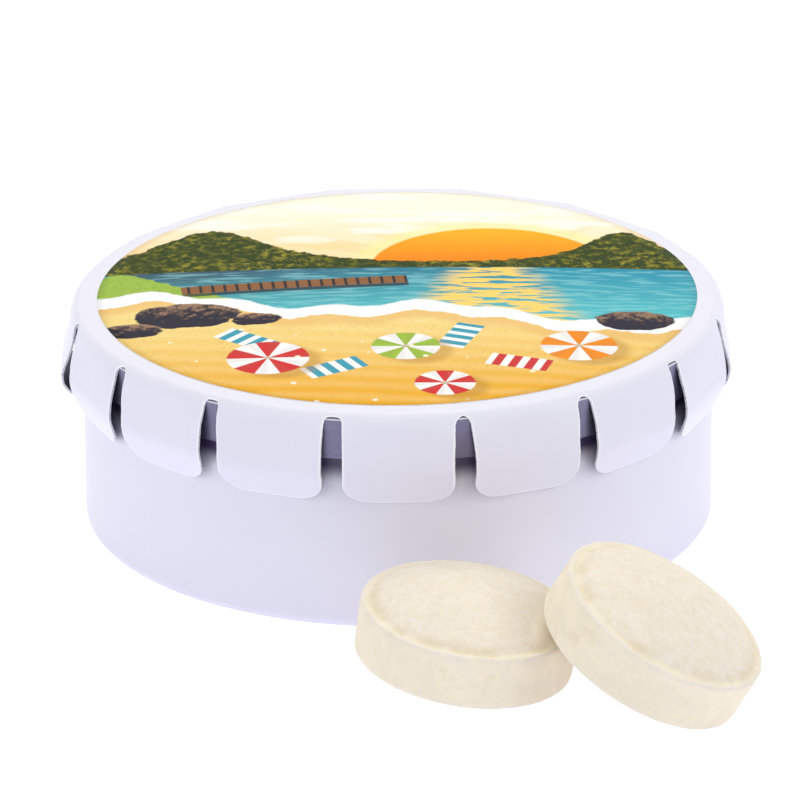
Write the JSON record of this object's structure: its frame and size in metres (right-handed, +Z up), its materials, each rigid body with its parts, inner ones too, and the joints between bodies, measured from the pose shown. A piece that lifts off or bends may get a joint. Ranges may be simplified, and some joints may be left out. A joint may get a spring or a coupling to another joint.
{
  "type": "mint box",
  "caption": "Small round white tin for mints, with a click lid whose domed centre is pressed to splay its petals, mints inside and loose mints in front.",
  "frame": {"origin": "centre of the tin's flat base, on the surface it stands on", "axes": "+Z up along the tin's axis, towards the lid; -Y towards the front, where the loose mints lie; +X to the right seen from the front"},
  "size_m": [0.0498, 0.0698, 0.0177],
  "materials": {
    "tin_enamel": "semi-gloss white enamel on tinplate",
    "lid_enamel": "semi-gloss white enamel on tinplate",
    "label_print": "printed film, satin",
    "mint_sugar": "chalky pressed sugar, matte"
  },
  "bodies": {
    "tin": {"tin_body": "tin_enamel", "mint_inside_1": "mint_sugar", "mint_inside_2": "mint_sugar", "mint_inside_3": "mint_sugar", "mint_inside_4": "mint_sugar", "mint_inside_5": "mint_sugar"},
    "lid": {"lid_shoulder": "lid_enamel"},
    "lid_centre": {"lid_panel": "lid_enamel", "lid_label": "label_print"},
    "petal_01": {"lid_petal_01": "lid_enamel"},
    "petal_02": {"lid_petal_02": "lid_enamel"},
    "petal_03": {"lid_petal_03": "lid_enamel"},
    "petal_04": {"lid_petal_04": "lid_enamel"},
    "petal_05": {"lid_petal_05": "lid_enamel"},
    "petal_06": {"lid_petal_06": "lid_enamel"},
    "petal_07": {"lid_petal_07": "lid_enamel"},
    "petal_08": {"lid_petal_08": "lid_enamel"},
    "petal_09": {"lid_petal_09": "lid_enamel"},
    "petal_10": {"lid_petal_10": "lid_enamel"},
    "petal_11": {"lid_petal_11": "lid_enamel"},
    "petal_12": {"lid_petal_12": "lid_enamel"},
    "petal_13": {"lid_petal_13": "lid_enamel"},
    "petal_14": {"lid_petal_14": "lid_enamel"},
    "petal_15": {"lid_petal_15": "lid_enamel"},
    "petal_16": {"lid_petal_16": "lid_enamel"},
    "mint_left": {"mint_front_left": "mint_sugar"},
    "mint_right": {"mint_front_right": "mint_sugar"}
  },
  "joints": [
    {"name": "lid_lift", "type": "slide", "parent": "tin", "child": "lid", "axis": [0, 0, 1], "range_m": [0, 0.03]},
    {"name": "lid_press", "type": "slide", "parent": "lid", "child": "lid_centre", "axis": [0, 0, -1], "range_m": [0, 0.001]},
    {"name": "petal_01_splay", "type": "hinge", "parent": "lid", "child": "petal_01", "pos_m": [0, -0.02403, 0.01632], "axis": [-1, 0, 0], "range_deg": [0, 6.5]},
    {"name": "petal_02_splay", "type": "hinge", "parent": "lid", "child": "petal_02", "pos_m": [0.00919, -0.0222, 0.01632], "axis": [-0.9239, -0.3827, 0], "range_deg": [0, 6.5]},
    {"name": "petal_03_splay", "type": "hinge", "parent": "lid", "child": "petal_03", "pos_m": [0.01699, -0.01699, 0.01632], "axis": [-0.7071, -0.7071, 0], "range_deg": [0, 6.5]},
    {"name": "petal_04_splay", "type": "hinge", "parent": "lid", "child": "petal_04", "pos_m": [0.0222, -0.00919, 0.01632], "axis": [-0.3827, -0.9239, 0], "range_deg": [0, 6.5]},
    {"name": "petal_05_splay", "type": "hinge", "parent": "lid", "child": "petal_05", "pos_m": [0.02403, 0, 0.01632], "axis": [0, -1, 0], "range_deg": [0, 6.5]},
    {"name": "petal_06_splay", "type": "hinge", "parent": "lid", "child": "petal_06", "pos_m": [0.0222, 0.00919, 0.01632], "axis": [0.3827, -0.9239, 0], "range_deg": [0, 6.5]},
    {"name": "petal_07_splay", "type": "hinge", "parent": "lid", "child": "petal_07", "pos_m": [0.01699, 0.01699, 0.01632], "axis": [0.7071, -0.7071, 0], "range_deg": [0, 6.5]},
    {"name": "petal_08_splay", "type": "hinge", "parent": "lid", "child": "petal_08", "pos_m": [0.00919, 0.0222, 0.01632], "axis": [0.9239, -0.3827, 0], "range_deg": [0, 6.5]},
    {"name": "petal_09_splay", "type": "hinge", "parent": "lid", "child": "petal_09", "pos_m": [0, 0.02403, 0.01632], "axis": [1, 0, 0], "range_deg": [0, 6.5]},
    {"name": "petal_10_splay", "type": "hinge", "parent": "lid", "child": "petal_10", "pos_m": [-0.00919, 0.0222, 0.01632], "axis": [0.9239, 0.3827, 0], "range_deg": [0, 6.5]},
    {"name": "petal_11_splay", "type": "hinge", "parent": "lid", "child": "petal_11", "pos_m": [-0.01699, 0.01699, 0.01632], "axis": [0.7071, 0.7071, 0], "range_deg": [0, 6.5]},
    {"name": "petal_12_splay", "type": "hinge", "parent": "lid", "child": "petal_12", "pos_m": [-0.0222, 0.00919, 0.01632], "axis": [0.3827, 0.9239, 0], "range_deg": [0, 6.5]},
    {"name": "petal_13_splay", "type": "hinge", "parent": "lid", "child": "petal_13", "pos_m": [-0.02403, 0, 0.01632], "axis": [0, 1, 0], "range_deg": [0, 6.5]},
    {"name": "petal_14_splay", "type": "hinge", "parent": "lid", "child": "petal_14", "pos_m": [-0.0222, -0.00919, 0.01632], "axis": [-0.3827, 0.9239, 0], "range_deg": [0, 6.5]},
    {"name": "petal_15_splay", "type": "hinge", "parent": "lid", "child": "petal_15", "pos_m": [-0.01699, -0.01699, 0.01632], "axis": [-0.7071, 0.7071, 0], "range_deg": [0, 6.5]},
    {"name": "petal_16_splay", "type": "hinge", "parent": "lid", "child": "petal_16", "pos_m": [-0.00919, -0.0222, 0.01632], "axis": [-0.9239, 0.3827, 0], "range_deg": [0, 6.5]},
    {"name": "mint_left_slide", "type": "slide", "parent": "tin", "child": "mint_left", "axis": [-1, 0, 0], "range_m": [0, 0.02]},
    {"name": "mint_right_lift", "type": "slide", "parent": "tin", "child": "mint_right", "axis": [0, 0, 1], "range_m": [0, 0.02]}
  ],
  "couplings": [
    {"joint": "petal_01_splay", "follows": "lid_press", "rad_per_m": 113.44},
    {"joint": "petal_02_splay", "follows": "lid_press", "rad_per_m": 113.44},
    {"joint": "petal_03_splay", "follows": "lid_press", "rad_per_m": 113.44},
    {"joint": "petal_04_splay", "follows": "lid_press", "rad_per_m": 113.44},
    {"joint": "petal_05_splay", "follows": "lid_press", "rad_per_m": 113.44},
    {"joint": "petal_06_splay", "follows": "lid_press", "rad_per_m": 113.44},
    {"joint": "petal_07_splay", "follows": "lid_press", "rad_per_m": 113.44},
    {"joint": "petal_08_splay", "follows": "lid_press", "rad_per_m": 113.44},
    {"joint": "petal_09_splay", "follows": "lid_press", "rad_per_m": 113.44},
    {"joint": "petal_10_splay", "follows": "lid_press", "rad_per_m": 113.44},
    {"joint": "petal_11_splay", "follows": "lid_press", "rad_per_m": 113.44},
    {"joint": "petal_12_splay", "follows": "lid_press", "rad_per_m": 113.44},
    {"joint": "petal_13_splay", "follows": "lid_press", "rad_per_m": 113.44},
    {"joint": "petal_14_splay", "follows": "lid_press", "rad_per_m": 113.44},
    {"joint": "petal_15_splay", "follows": "lid_press", "rad_per_m": 113.44},
    {"joint": "petal_16_splay", "follows": "lid_press", "rad_per_m": 113.44}
  ]
}
